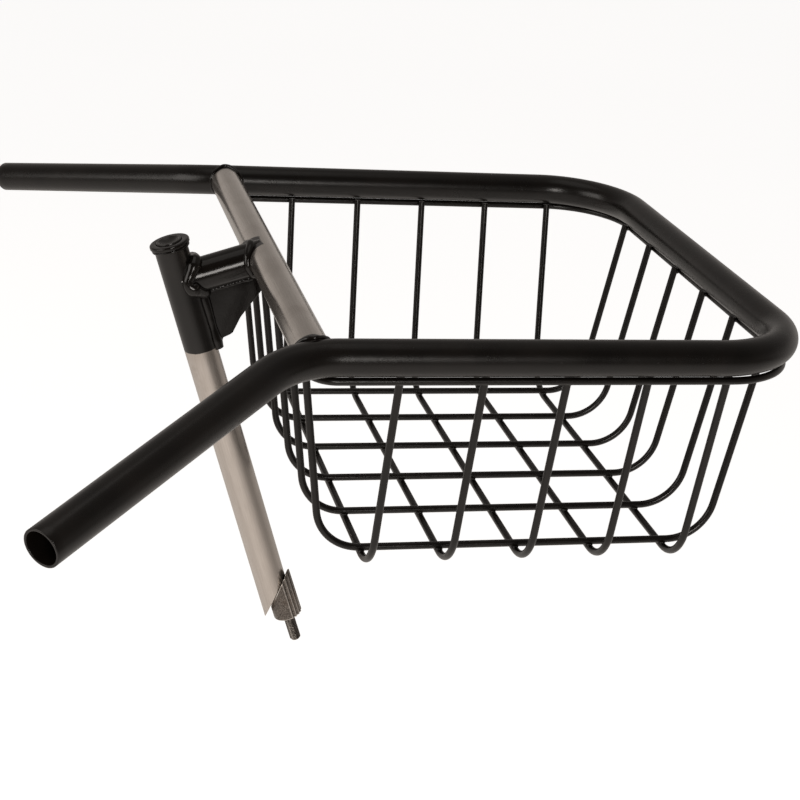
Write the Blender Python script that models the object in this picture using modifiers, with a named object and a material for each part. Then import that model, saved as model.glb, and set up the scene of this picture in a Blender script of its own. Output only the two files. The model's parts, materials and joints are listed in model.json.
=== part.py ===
"""Handlebar basket for a bicycle: one bent tube is both the handlebar and the basket's frame.

Units are metres and +Z is up. The origin lies on the quill's axis, at the line where its paint
stops and the fork's headset begins. The bicycle travels towards -Y, so the rider's right is -X.
The frame's rails lie in a level plane, and the quill leans back by the head angle.
"""

import bmesh
import bpy
from math import atan2, cos, radians, sin, tan
from mathutils import Vector

# Clearance between separate pieces, bridged on the real object by weld metal or a running fit.
GAP = 0.0003

# Bent frame tube.
TUBE_DIAMETER = 0.0222
TUBE_WALL = 0.0016
RAIL_HALF_SPAN = 0.1842
FRAME_DEPTH = 0.3104
FRONT_CORNER_RADIUS = 0.060
REAR_BEND_LEAD = 0.0137
REAR_BEND_RADIUS = 0.062
HANDLE_SPLAY = radians(44.5)
HANDLE_DROP = radians(11.6)
HANDLE_LENGTH = 0.182
CORNER_STEPS = 10
BEND_STEPS = 7

# Stem: the quill, and the short extension that carries the frame.
STEM_LEAN = radians(18.2)
QUILL_DIAMETER = 0.0222
QUILL_WALL = 0.0018
QUILL_RISE = 0.0715
QUILL_CUT_DROP = 0.2035
CUT_ANGLE = radians(36.0)
CUT_TURN = radians(-23.0)
EXTENSION_DIAMETER = 0.0230
EXTENSION_WALL = 0.0020
EXTENSION_HEIGHT = 0.0487
EXTENSION_REACH = 0.0570
EXTENSION_TRIM = 0.005
GUSSET_THICKNESS = 0.004
GUSSET_OVERREACH = 0.0035
GUSSET_NOSE_DROP = 0.0030
GUSSET_FOOT = -0.0039
# Free edge of the gusset, from the quill forwards: (distance ahead of the quill axis, height).
GUSSET_EDGE = (
    (0.0148, -0.0012),
    (0.0164, 0.0016),
    (0.0215, 0.0024),
    (0.0235, 0.0032),
    (0.0313, 0.0122),
    (0.0364, 0.0163),
    (0.0480, 0.0250),
)

# Collar and dust plug on top of the quill.
COLLAR_OVERHANG = 0.0022
COLLAR_HEIGHT = 0.0052
COLLAR_BORE = 0.0176
COLLAR_LEDGE_BORE = 0.0152
COLLAR_LEDGE = 0.0022
COLLAR_GROOVE = 0.0004
PLUG_PROUD = 0.0008
PLUG_SKIRT = 0.0050
PLUG_SKIRT_WALL = 0.0016
PLUG_DISH = 0.0012
PLUG_RIM = 0.0011

# Expander: seat, washer, bolt and wedge.
SEAT_HEIGHT = 0.0540
SEAT_THICKNESS = 0.0080
SEAT_PLAY = 0.0007
WASHER_DIAMETER = 0.0146
WASHER_THICKNESS = 0.0016
BOLT_DIAMETER = 0.0080
BOLT_HEAD_DIAMETER = 0.0130
BOLT_HEAD_HEIGHT = 0.0080
BOLT_HEAD_CHAMFER = 0.0006
BOLT_TIP_CHAMFER = 0.0010
BOLT_SOCKET = 0.0060
BOLT_SOCKET_DEPTH = 0.0042
BOLT_END_DROP = 0.2419
WEDGE_UNDERSIZE = 0.0012
WEDGE_FOOT_DROP = 0.2195
WEDGE_OVERHANG = 0.0003
WEDGE_PLAY = 0.00045
WEDGE_CHAMFER = 0.0006

# Wire basket.
WIRE_DIAMETER = 0.0048
RIM_WELD_GAP = 0.0008
RIM_OUTSET = 0.0008
RIM_FRONT_RADIUS = 0.053
RIM_REAR_RADIUS = 0.015
BASKET_DEPTH = 0.1511
LONG_WIRES = 6
CROSS_WIRES = 5
LONG_WIRE_LEAN = radians(8.3)
CROSS_WIRE_LEAN = radians(10.4)
LONG_BEND_RADIUS = 0.030
CROSS_BEND_RADIUS = 0.032
UPRIGHT_TIP_GAP = 0.0009
# How far the outermost wires of one set lie beyond the flat floor of the other set.
LONG_WIRE_OUTSET = 0.0016
CROSS_WIRE_OUTSET = -0.0018
WIRE_BEND_STEPS = 6

# Positions that follow from the sizes above.
CROSS_Y = EXTENSION_HEIGHT * sin(STEM_LEAN) - EXTENSION_REACH * cos(STEM_LEAN)
FRAME_Z = EXTENSION_HEIGHT * cos(STEM_LEAN) + EXTENSION_REACH * sin(STEM_LEAN)
FRONT_Y = CROSS_Y - FRAME_DEPTH
BASKET_Y = CROSS_Y - FRAME_DEPTH / 2
WIRE_STEP = WIRE_DIAMETER + GAP
RIM_DROP = TUBE_DIAMETER / 2 + WIRE_DIAMETER / 2 + RIM_WELD_GAP
UPRIGHT_TIP_DROP = TUBE_DIAMETER / 2 + UPRIGHT_TIP_GAP
QUILL_BORE = QUILL_DIAMETER - 2 * QUILL_WALL
WEDGE_OFFSET = (QUILL_BORE - BOLT_DIAMETER) / 2 + WEDGE_OVERHANG
BOLT_LEAN = atan2(WEDGE_OFFSET, SEAT_HEIGHT + WEDGE_FOOT_DROP)

PAINT = ((0.016, 0.014, 0.013, 1.0), 0.36, 0.0)
BARE_TUBE = ((0.30, 0.27, 0.24, 1.0), 0.42, 0.9)
BARE_QUILL = ((0.52, 0.48, 0.44, 1.0), 0.36, 1.0)
DARK_STEEL = ((0.12, 0.11, 0.10, 1.0), 0.50, 0.9)
ZINC_STEEL = ((0.42, 0.41, 0.40, 1.0), 0.32, 1.0)
BLACK_NYLON = ((0.020, 0.019, 0.018, 1.0), 0.45, 0.0)


def clear_scene():
    for item in list(bpy.data.objects):
        bpy.data.objects.remove(item, do_unlink=True)


def new_collection(name):
    collection = bpy.data.collections.new(name)
    bpy.context.scene.collection.children.link(collection)
    return collection


def new_object(name, data, collection, parent=None):
    item = bpy.data.objects.new(name, data)
    collection.objects.link(item)
    item.parent = parent
    return item


def paint(item, finish):
    colour, roughness, metallic = finish
    material = bpy.data.materials.new(item.name + "_finish")
    material.use_nodes = True
    shader = material.node_tree.nodes["Principled BSDF"]
    shader.inputs["Base Color"].default_value = colour
    shader.inputs["Roughness"].default_value = roughness
    shader.inputs["Metallic"].default_value = metallic
    item.data.materials.append(material)


def smooth(item, angle=35.0):
    item.data.shade_smooth()
    item.data.set_sharp_from_angle(angle=radians(angle))


def turned(name, profile, collection, parent=None, steps=32, ring=False):
    """Solid of revolution about local Z. The profile runs down the outer side, then inwards."""
    mesh = bpy.data.meshes.new(name)
    count = len(profile)
    edges = [(i, i + 1) for i in range(count - 1)]
    if ring:
        edges.append((count - 1, 0))
    mesh.from_pydata([(r, 0.0, z) for r, z in profile], edges, [])
    item = new_object(name, mesh, collection, parent)
    screw = item.modifiers.new("turn", "SCREW")
    screw.steps = steps
    screw.render_steps = steps
    screw.use_merge_vertices = True
    screw.merge_threshold = 0.00001
    screw.use_smooth_shade = True
    return item


def tube_profile(outer, inner, top, bottom):
    return [(outer, top), (outer, bottom), (inner, bottom), (inner, top)]


def wire_curve(name, points, radius, collection, cyclic=False, resolution=2, caps=True):
    """Round bar swept along a chain of points."""
    curve = bpy.data.curves.new(name, "CURVE")
    curve.dimensions = "3D"
    curve.bevel_depth = radius
    curve.bevel_resolution = resolution
    curve.use_fill_caps = caps and not cyclic
    spline = curve.splines.new("POLY")
    spline.points.add(len(points) - 1)
    for point, place in zip(spline.points, points):
        point.co = (place[0], place[1], place[2], 1.0)
    spline.use_cyclic_u = cyclic
    return new_object(name, curve, collection)


def as_mesh(curve_item):
    """Replaces a curve by its mesh, with the caps welded on."""
    name = curve_item.name
    collection = curve_item.users_collection[0]
    graph = bpy.context.evaluated_depsgraph_get()
    mesh = bpy.data.meshes.new_from_object(curve_item.evaluated_get(graph))
    shell = bmesh.new()
    shell.from_mesh(mesh)
    bmesh.ops.remove_doubles(shell, verts=shell.verts, dist=0.000001)
    bmesh.ops.recalc_face_normals(shell, faces=shell.faces)
    shell.to_mesh(mesh)
    shell.free()
    place = curve_item.matrix_world.copy()
    parent = curve_item.parent
    local = curve_item.matrix_local.copy()
    bpy.data.objects.remove(curve_item, do_unlink=True)
    item = new_object(name, mesh, collection, parent)
    if parent is None:
        item.matrix_world = place
    else:
        item.matrix_local = local
    return item


def as_cutter(item):
    item.hide_render = True
    item.display_type = "WIRE"
    return item


def cut(item, cutter):
    boolean = item.modifiers.new("cut_" + cutter.name, "BOOLEAN")
    boolean.operation = "DIFFERENCE"
    boolean.solver = "EXACT"
    boolean.object = cutter


def round_cutter(name, radius, length, collection, parent=None, steps=48):
    """Solid cylinder about local Z, centred on its own origin."""
    profile = [(0.0, length / 2), (radius, length / 2), (radius, -length / 2), (0.0, -length / 2)]
    return as_cutter(turned(name, profile, collection, parent, steps))


def plane_cutter(name, size, shift, collection, parent):
    """Block with one face parallel to the quill's slanted cut, shifted along that cut's normal."""
    mesh = bpy.data.meshes.new(name)
    block = bmesh.new()
    bmesh.ops.create_cube(block, size=size)
    block.to_mesh(mesh)
    block.free()
    item = new_object(name, mesh, collection, parent)
    normal = Vector((0.0, -cos(CUT_ANGLE), -sin(CUT_ANGLE)))
    item.rotation_euler = (radians(90.0) + CUT_ANGLE, 0.0, 0.0)
    item.location = Vector((0.0, 0.0, -QUILL_CUT_DROP)) + normal * shift
    return as_cutter(item)


def arc(centre, start, turn_towards, angle, steps):
    """Points on an arc that leaves centre + start in the direction turn_towards."""
    radius = start.length
    along = turn_towards.normalized() * radius
    return [
        centre + start * cos(angle * i / steps) + along * sin(angle * i / steps)
        for i in range(steps + 1)
    ]


def bar_half_path():
    """Centreline of the +X half of the frame tube, from the handle's end to the front."""
    bend_start = Vector((RAIL_HALF_SPAN, CROSS_Y - REAR_BEND_LEAD, FRAME_Z))
    back = Vector((0.0, 1.0, 0.0))
    handle = Vector(
        (
            sin(HANDLE_SPLAY) * cos(HANDLE_DROP),
            cos(HANDLE_SPLAY) * cos(HANDLE_DROP),
            -sin(HANDLE_DROP),
        )
    )
    side = (handle - back * handle.dot(back)).normalized()
    bend = arc(
        bend_start + side * REAR_BEND_RADIUS,
        side * -REAR_BEND_RADIUS,
        back,
        handle.angle(back),
        BEND_STEPS,
    )
    handle_end = bend[-1] + handle * HANDLE_LENGTH
    corner = arc(
        Vector((RAIL_HALF_SPAN - FRONT_CORNER_RADIUS, FRONT_Y + FRONT_CORNER_RADIUS, FRAME_Z)),
        Vector((FRONT_CORNER_RADIUS, 0.0, 0.0)),
        Vector((0.0, -1.0, 0.0)),
        radians(90.0),
        CORNER_STEPS,
    )
    return [handle_end] + bend[::-1] + corner


def bar_path():
    half = bar_half_path()
    return half + [Vector((-p.x, p.y, p.z)) for p in reversed(half)]


def build_handlebar_tube(parts):
    """One tube bent six times is both grips, both rails and the front of the frame."""
    item = as_mesh(
        wire_curve("handlebar_tube", bar_path(), TUBE_DIAMETER / 2, parts, resolution=10, caps=False)
    )
    wall = item.modifiers.new("wall", "SOLIDIFY")
    wall.thickness = TUBE_WALL
    wall.offset = -1.0
    wall.use_even_offset = True
    smooth(item)
    paint(item, PAINT)


def build_cross_tube(parts, cutters):
    """Bare tube between the two rails, its ends saddled to the frame tube."""
    radius = TUBE_DIAMETER / 2
    half = RAIL_HALF_SPAN - 0.004
    item = turned(
        "cross_tube",
        tube_profile(radius, radius - TUBE_WALL, half, -half),
        parts,
        ring=True,
    )
    item.rotation_euler = (0.0, radians(90.0), 0.0)
    item.location = (0.0, CROSS_Y, FRAME_Z)
    frame = as_cutter(
        as_mesh(wire_curve("frame_cutter", bar_path(), radius + GAP, cutters, resolution=10))
    )
    cut(item, frame)
    paint(item, BARE_TUBE)


def build_quill_tube(parts, cutters, stem, expander):
    """Straight tube that goes down the steerer, its foot cut on a slant for the wedge."""
    outer = QUILL_DIAMETER / 2
    foot = -QUILL_CUT_DROP - 2 * QUILL_DIAMETER
    item = turned(
        "quill_tube",
        tube_profile(outer, outer - QUILL_WALL, QUILL_RISE, foot),
        parts,
        stem,
        ring=True,
    )
    size = 0.12
    cut(item, plane_cutter("quill_foot_cutter", size, size / 2, cutters, expander))
    paint(item, BARE_QUILL)


def build_stem_extension(parts, cutters, stem):
    """Short tube square to the quill, saddled onto it and onto the cross tube."""
    outer = EXTENSION_DIAMETER / 2
    item = turned(
        "stem_extension",
        tube_profile(
            outer,
            outer - EXTENSION_WALL,
            EXTENSION_REACH - EXTENSION_TRIM,
            EXTENSION_TRIM,
        ),
        parts,
        stem,
        ring=True,
    )
    item.rotation_euler = (radians(90.0), 0.0, 0.0)
    item.location = (0.0, 0.0, EXTENSION_HEIGHT)
    for cutter in (cutters["quill"], cutters["cross"], cutters["rim"]):
        cut(item, cutter)
    paint(item, PAINT)


def build_gusset_plate(parts, cutters, stem):
    """Flat plate under the extension that ties it, the quill and the cross tube together."""
    curve = bpy.data.curves.new("gusset_plate", "CURVE")
    curve.dimensions = "2D"
    curve.fill_mode = "BOTH"
    curve.extrude = GUSSET_THICKNESS / 2
    outline = [(QUILL_DIAMETER / 4, EXTENSION_HEIGHT), (QUILL_DIAMETER / 4, GUSSET_FOOT)]
    outline.append((QUILL_DIAMETER / 2, GUSSET_FOOT))
    outline.extend(GUSSET_EDGE)
    nose = EXTENSION_REACH + GUSSET_OVERREACH
    outline.append((nose, EXTENSION_HEIGHT - EXTENSION_DIAMETER / 2 - GUSSET_NOSE_DROP))
    outline.append((nose, EXTENSION_HEIGHT))
    spline = curve.splines.new("POLY")
    spline.points.add(len(outline) - 1)
    for point, (ahead, height) in zip(spline.points, outline):
        point.co = (ahead, height, 0.0, 1.0)
    spline.use_cyclic_u = True
    flat = new_object("gusset_plate", curve, parts, stem)
    flat.rotation_euler = (radians(90.0), 0.0, radians(-90.0))
    bpy.context.view_layer.update()
    item = as_mesh(flat)
    for cutter in (cutters["quill"], cutters["extension"], cutters["cross"], cutters["rim"]):
        cut(item, cutter)
    paint(item, PAINT)


def stem_cutters(collection, stem):
    """Clearance shapes of the tubes and the wire that the extension and the gusset meet."""
    quill = round_cutter("quill_clearance", QUILL_DIAMETER / 2 + GAP, 0.30, collection, stem)
    cross = round_cutter("cross_clearance", TUBE_DIAMETER / 2 + GAP, 0.10, collection)
    cross.rotation_euler = (0.0, radians(90.0), 0.0)
    cross.location = (0.0, CROSS_Y, FRAME_Z)
    rim = round_cutter("rim_clearance", WIRE_DIAMETER / 2 + GAP, 0.06, collection, steps=24)
    rim.rotation_euler = (0.0, radians(90.0), 0.0)
    rim.location = (0.0, CROSS_Y + RIM_OUTSET, FRAME_Z - RIM_DROP)
    extension = round_cutter(
        "extension_clearance", EXTENSION_DIAMETER / 2 + GAP, EXTENSION_REACH, collection, stem
    )
    extension.rotation_euler = (radians(90.0), 0.0, 0.0)
    extension.location = (0.0, -EXTENSION_REACH / 2, EXTENSION_HEIGHT)
    return {"quill": quill, "cross": cross, "rim": rim, "extension": extension}


def build_top_collar(parts, stem):
    """Turned ring on the quill's top, with a fine groove below its rounded edge."""
    outer = QUILL_DIAMETER / 2 + COLLAR_OVERHANG
    foot = QUILL_RISE + GAP
    top = foot + COLLAR_HEIGHT
    ledge = foot + COLLAR_LEDGE
    profile = [
        (outer - 0.0010, top),
        (outer - 0.0003, top - 0.0003),
        (outer, top - 0.0010),
        (outer, top - 0.0018),
        (outer - COLLAR_GROOVE, top - 0.0021),
        (outer - COLLAR_GROOVE / 4, top - 0.0025),
        (outer - COLLAR_GROOVE / 4, foot + 0.0012),
        (outer - 0.0009, foot),
        (COLLAR_LEDGE_BORE / 2, foot),
        (COLLAR_LEDGE_BORE / 2, ledge),
        (COLLAR_BORE / 2, ledge),
        (COLLAR_BORE / 2, top),
    ]
    item = turned("top_collar", profile, parts, stem, steps=40, ring=True)
    paint(item, PAINT)


def build_dust_plug(parts, stem):
    """Push-in plug that covers the bolt's head; its dished face stands just proud."""
    ledge = QUILL_RISE + GAP + COLLAR_LEDGE
    head = COLLAR_BORE / 2 - GAP
    skirt = COLLAR_LEDGE_BORE / 2 - GAP
    face = COLLAR_HEIGHT - COLLAR_LEDGE + PLUG_PROUD
    foot = GAP - PLUG_SKIRT
    profile = [
        (0.0, face - PLUG_DISH),
        (head - PLUG_RIM - 0.0012, face - PLUG_DISH),
        (head - PLUG_RIM, face - 0.0002),
        (head - PLUG_RIM + 0.0003, face),
        (head - 0.0004, face),
        (head, face - 0.0005),
        (head, GAP),
        (skirt, GAP),
        (skirt, foot),
        (skirt - PLUG_SKIRT_WALL, foot),
        (skirt - PLUG_SKIRT_WALL, GAP),
        (0.0, GAP),
    ]
    item = turned("dust_plug", profile, parts, stem, steps=32)
    item.location = (0.0, 0.0, ledge)
    paint(item, BLACK_NYLON)


def build_bolt_seat(parts, stem):
    """Bored disc welded inside the quill, which takes the pull of the expander bolt."""
    outer = QUILL_BORE / 2 - GAP
    bore = BOLT_DIAMETER / 2 + SEAT_PLAY
    item = turned(
        "bolt_seat",
        tube_profile(outer, bore, SEAT_HEIGHT, SEAT_HEIGHT - SEAT_THICKNESS),
        parts,
        stem,
        ring=True,
    )
    paint(item, DARK_STEEL)


def build_bolt_washer(parts, swing):
    """Washer under the bolt's head, which rocks on the seat with the bolt."""
    item = turned(
        "bolt_washer",
        tube_profile(
            WASHER_DIAMETER / 2,
            BOLT_DIAMETER / 2 + GAP,
            GAP + WASHER_THICKNESS,
            GAP,
        ),
        parts,
        swing,
        ring=True,
    )
    paint(item, ZINC_STEEL)


def build_expander_bolt(parts, cutters, swing):
    """Long socket-head bolt through the quill; its end stands out below the wedge."""
    under = WASHER_THICKNESS + 2 * GAP
    top = under + BOLT_HEAD_HEIGHT
    tip = -(SEAT_HEIGHT + BOLT_END_DROP) / cos(BOLT_LEAN)
    head = BOLT_HEAD_DIAMETER / 2
    shank = BOLT_DIAMETER / 2
    profile = [
        (0.0, top),
        (head - BOLT_HEAD_CHAMFER, top),
        (head, top - BOLT_HEAD_CHAMFER),
        (head, under),
        (shank, under),
        (shank, tip + BOLT_TIP_CHAMFER),
        (shank - BOLT_TIP_CHAMFER, tip),
        (0.0, tip),
    ]
    item = turned("expander_bolt", profile, parts, swing, steps=24)
    mesh = bpy.data.meshes.new("socket_cutter")
    prism = bmesh.new()
    across_corners = BOLT_SOCKET / cos(radians(30.0))
    bmesh.ops.create_cone(
        prism,
        cap_ends=True,
        segments=6,
        radius1=across_corners / 2,
        radius2=across_corners / 2,
        depth=2 * BOLT_SOCKET_DEPTH,
    )
    prism.to_mesh(mesh)
    prism.free()
    socket = as_cutter(new_object("socket_cutter", mesh, cutters, swing))
    socket.location = (0.0, 0.0, top)
    cut(item, socket)
    paint(item, DARK_STEEL)


def build_expander_wedge(parts, cutters, expander):
    """Slant-topped plug that the bolt pulls up against the quill's foot to lock the stem."""
    outer = (QUILL_DIAMETER - WEDGE_UNDERSIZE) / 2
    bore = BOLT_DIAMETER / 2 + WEDGE_PLAY
    height = 6 * outer
    profile = [
        (outer, height),
        (outer, WEDGE_CHAMFER),
        (outer - WEDGE_CHAMFER, 0.0),
        (bore, 0.0),
        (bore, height),
    ]
    item = turned("expander_wedge", profile, parts, expander, steps=36, ring=True)
    item.location = (0.0, -WEDGE_OFFSET, -WEDGE_FOOT_DROP)
    item.rotation_euler = (-BOLT_LEAN, 0.0, 0.0)
    size = 0.12
    cut(item, plane_cutter("wedge_face_cutter", size, GAP - size / 2, cutters, expander))
    paint(item, DARK_STEEL)


def rim_corner(x, y, radius, across, along):
    """Rounded corner of the rim wire: across and along are the signs of its two sides."""
    centre = Vector((x - across * radius, y - along * radius, FRAME_Z - RIM_DROP))
    return arc(
        centre,
        Vector((across * radius, 0.0, 0.0)),
        Vector((0.0, along, 0.0)),
        radians(90.0),
        WIRE_BEND_STEPS + 2,
    )


def build_rim_wire(parts):
    """Closed wire loop under the frame tube and the cross tube; the basket hangs from it."""
    half = RAIL_HALF_SPAN + RIM_OUTSET
    front = FRONT_Y - RIM_OUTSET
    rear = CROSS_Y + RIM_OUTSET
    points = rim_corner(half, rear, RIM_REAR_RADIUS, 1, 1)[::-1]
    points += rim_corner(half, front, RIM_FRONT_RADIUS, 1, -1)
    points += rim_corner(-half, front, RIM_FRONT_RADIUS, -1, -1)[::-1]
    points += rim_corner(-half, rear, RIM_REAR_RADIUS, -1, 1)
    item = as_mesh(wire_curve("rim_wire", points, WIRE_DIAMETER / 2, parts, cyclic=True))
    smooth(item)
    paint(item, PAINT)


def half_top(half_frame, lean):
    """Half width, at the rim, of a U whose uprights lean against the rim wire's inner side."""
    return half_frame + RIM_OUTSET - WIRE_STEP / cos(lean)


def half_floor(half_frame, lean, depth, radius):
    """Half length of the straight floor of a U."""
    foot = half_top(half_frame, lean) - (depth - RIM_DROP) * tan(lean)
    return foot - radius * tan((radians(90.0) - lean) / 2)


def u_shape(half_frame, lean, depth, radius):
    """One U of wire in its own plane: (across, height) from one tip to the other."""
    tip = half_top(half_frame, lean) + (RIM_DROP - UPRIGHT_TIP_DROP) * tan(lean)
    flat = half_floor(half_frame, lean, depth, radius)
    sweep = radians(90.0) - lean
    half = [(tip, -UPRIGHT_TIP_DROP)]
    for i in range(WIRE_BEND_STEPS + 1):
        turn = sweep * (1 - i / WIRE_BEND_STEPS)
        half.append((flat + radius * sin(turn), radius * (1 - cos(turn)) - depth))
    return half + [(-across, height) for across, height in reversed(half)]


def build_long_wires(parts):
    """U wires that run fore and aft, spread over the floor of the cross wires."""
    shape = u_shape(FRAME_DEPTH / 2, LONG_WIRE_LEAN, BASKET_DEPTH, LONG_BEND_RADIUS)
    depth = BASKET_DEPTH + WIRE_STEP
    outermost = LONG_WIRE_OUTSET + half_floor(
        RAIL_HALF_SPAN, CROSS_WIRE_LEAN, depth, CROSS_BEND_RADIUS
    )
    for number in range(LONG_WIRES):
        x = outermost * (2 * number / (LONG_WIRES - 1) - 1)
        points = [(x, BASKET_Y + y, FRAME_Z + z) for y, z in shape]
        item = wire_curve(f"long_wire_{number + 1}", points, WIRE_DIAMETER / 2, parts)
        paint(item, PAINT)


def build_cross_wires(parts):
    """U wires that run from rail to rail, under the long wires that they carry."""
    depth = BASKET_DEPTH + WIRE_STEP
    shape = u_shape(RAIL_HALF_SPAN, CROSS_WIRE_LEAN, depth, CROSS_BEND_RADIUS)
    outermost = CROSS_WIRE_OUTSET + half_floor(
        FRAME_DEPTH / 2, LONG_WIRE_LEAN, BASKET_DEPTH, LONG_BEND_RADIUS
    )
    for number in range(CROSS_WIRES):
        y = BASKET_Y + outermost * (1 - 2 * number / (CROSS_WIRES - 1))
        points = [(x, y, FRAME_Z + z) for x, z in shape]
        item = wire_curve(f"cross_wire_{number + 1}", points, WIRE_DIAMETER / 2, parts)
        paint(item, PAINT)


def main():
    clear_scene()
    parts = new_collection("handlebar_basket")
    cutters = new_collection("cutters")
    stem = new_object("stem_axis", None, parts)
    stem.rotation_euler = (-STEM_LEAN, 0.0, 0.0)
    expander = new_object("expander_axis", None, parts, stem)
    expander.rotation_euler = (0.0, 0.0, CUT_TURN)
    swing = new_object("bolt_swing_pivot", None, parts, expander)
    swing.location = (0.0, 0.0, SEAT_HEIGHT)
    swing.rotation_euler = (-BOLT_LEAN, 0.0, 0.0)
    bpy.context.view_layer.update()
    build_handlebar_tube(parts)
    build_cross_tube(parts, cutters)
    build_quill_tube(parts, cutters, stem, expander)
    clearances = stem_cutters(cutters, stem)
    build_stem_extension(parts, clearances, stem)
    build_gusset_plate(parts, clearances, stem)
    build_top_collar(parts, stem)
    build_dust_plug(parts, stem)
    build_bolt_seat(parts, stem)
    build_bolt_washer(parts, swing)
    build_expander_bolt(parts, cutters, swing)
    build_expander_wedge(parts, cutters, expander)
    build_rim_wire(parts)
    build_long_wires(parts)
    build_cross_wires(parts)


main()
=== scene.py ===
import bmesh
import bpy
import json
from math import atan2, cos, pi, radians, sin, sqrt, tan
from mathutils import Matrix, Vector


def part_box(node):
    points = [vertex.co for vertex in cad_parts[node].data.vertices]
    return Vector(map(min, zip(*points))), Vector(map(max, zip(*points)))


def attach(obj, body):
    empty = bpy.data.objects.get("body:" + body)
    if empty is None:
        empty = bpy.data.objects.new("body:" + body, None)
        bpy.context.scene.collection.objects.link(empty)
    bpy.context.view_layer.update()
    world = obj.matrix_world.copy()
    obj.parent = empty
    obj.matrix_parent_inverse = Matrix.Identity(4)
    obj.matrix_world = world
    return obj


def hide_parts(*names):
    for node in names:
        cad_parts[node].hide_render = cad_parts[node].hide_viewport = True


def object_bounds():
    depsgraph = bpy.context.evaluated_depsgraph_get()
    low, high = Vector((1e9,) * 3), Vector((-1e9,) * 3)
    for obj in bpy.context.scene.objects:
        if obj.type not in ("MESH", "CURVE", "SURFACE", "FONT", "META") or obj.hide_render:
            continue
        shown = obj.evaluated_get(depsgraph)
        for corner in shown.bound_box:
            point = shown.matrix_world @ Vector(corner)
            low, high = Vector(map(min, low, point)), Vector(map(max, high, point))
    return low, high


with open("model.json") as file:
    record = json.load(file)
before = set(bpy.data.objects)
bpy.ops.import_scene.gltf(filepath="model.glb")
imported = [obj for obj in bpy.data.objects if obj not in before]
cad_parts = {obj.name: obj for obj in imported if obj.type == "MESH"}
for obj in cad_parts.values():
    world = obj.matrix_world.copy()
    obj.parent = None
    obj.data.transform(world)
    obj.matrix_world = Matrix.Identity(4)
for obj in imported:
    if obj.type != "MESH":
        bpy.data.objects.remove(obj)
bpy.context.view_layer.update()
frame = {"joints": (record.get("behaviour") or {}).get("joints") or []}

# Camera: level with a person's chest, on the rider's right and a little behind the bars.
# It looks forward and down over the near grip into the basket.
CAMERA_PLACE = Vector((-1.0631, 0.1549, 0.4103))
CAMERA_TURN = radians(-15.62)
CAMERA_DIP = radians(22.20)
CAMERA_ROLL = radians(5.75)
LENS_MM = 76.52
SENSOR_MM = 36.0
VIEW_LIMIT = 60.0


def new_object(name, data):
    item = bpy.data.objects.new(name, data)
    bpy.context.scene.collection.objects.link(item)
    return item


def add_camera():
    forward = Vector(
        (
            cos(CAMERA_DIP) * cos(CAMERA_TURN),
            cos(CAMERA_DIP) * sin(CAMERA_TURN),
            -sin(CAMERA_DIP),
        )
    )
    level_right = Vector((sin(CAMERA_TURN), -cos(CAMERA_TURN), 0.0))
    level_up = level_right.cross(forward)
    right = level_right * cos(CAMERA_ROLL) + level_up * sin(CAMERA_ROLL)
    up = level_up * cos(CAMERA_ROLL) - level_right * sin(CAMERA_ROLL)
    camera = new_object("camera", bpy.data.cameras.new("camera"))
    turn = Matrix((right, up, -forward)).transposed().to_4x4()
    camera.matrix_world = Matrix.Translation(CAMERA_PLACE) @ turn
    camera.data.lens = LENS_MM
    camera.data.sensor_width = SENSOR_MM
    camera.data.clip_end = VIEW_LIMIT
    bpy.context.scene.camera = camera


add_camera()

# Frame tube: one steel tube bent six times, which makes both grips, both side rails and the
# front of the basket. It is stove-enamelled in satin black; its ends are left open for grips.
TUBE_RADIUS = 0.0111
TUBE_WALL = 0.0016
RAIL_HALF_SPAN = 0.1842
FRAME_DEPTH = 0.3104
FRONT_CORNER = 0.060
REAR_BEND = 0.062
REAR_BEND_LEAD = 0.0137
GRIP_SPLAY = radians(44.5)
GRIP_DROP = radians(11.6)
GRIP_LENGTH = 0.182
TUBE_SIDES = 72
TUBE_LIP = 0.0003
TUBE_CREASE = 50.0
PAINT_DARK = (0.0034, 0.0025, 0.0019)
PAINT_PALE = (0.0072, 0.0053, 0.0041)
ENAMEL_SPECULAR = 0.38
SATIN_ROUGHNESS = (0.24, 0.33)

cross_low, cross_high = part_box("cross_tube")
cross_y = (cross_low.y + cross_high.y) / 2
frame_z = (cross_low.z + cross_high.z) / 2
front_y = cross_y - FRAME_DEPTH
basket_y = cross_y - FRAME_DEPTH / 2


def arc(centre, start, towards, angle, steps):
    """Points on an arc that leaves centre + start in the direction towards."""
    along = towards.normalized() * start.length
    return [
        centre + start * cos(angle * i / steps) + along * sin(angle * i / steps)
        for i in range(steps + 1)
    ]


def line(a, b, steps):
    return [a.lerp(b, i / steps) for i in range(steps + 1)]


def joined(*runs):
    """Chains of points put end to end, with each shared point kept once."""
    points = []
    for run in runs:
        for p in run:
            if not points or (points[-1] - p).length > 1e-6:
                points.append(p)
    return points


def half_frame_path():
    bend_start = Vector((RAIL_HALF_SPAN, cross_y - REAR_BEND_LEAD, frame_z))
    back = Vector((0.0, 1.0, 0.0))
    grip = Vector(
        (sin(GRIP_SPLAY) * cos(GRIP_DROP), cos(GRIP_SPLAY) * cos(GRIP_DROP), -sin(GRIP_DROP))
    )
    side = (grip - back * grip.dot(back)).normalized()
    bend = arc(
        bend_start + side * REAR_BEND, side * -REAR_BEND, back, grip.angle(back), 20
    )
    corner_centre = Vector(
        (RAIL_HALF_SPAN - FRONT_CORNER, front_y + FRONT_CORNER, frame_z)
    )
    corner = arc(
        corner_centre,
        Vector((FRONT_CORNER, 0.0, 0.0)),
        Vector((0.0, -1.0, 0.0)),
        radians(90.0),
        28,
    )
    grip_end = bend[-1] + grip * GRIP_LENGTH
    return joined(line(grip_end, bend[-1], 30), bend[::-1], line(bend[0], corner[0], 40), corner)


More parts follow.
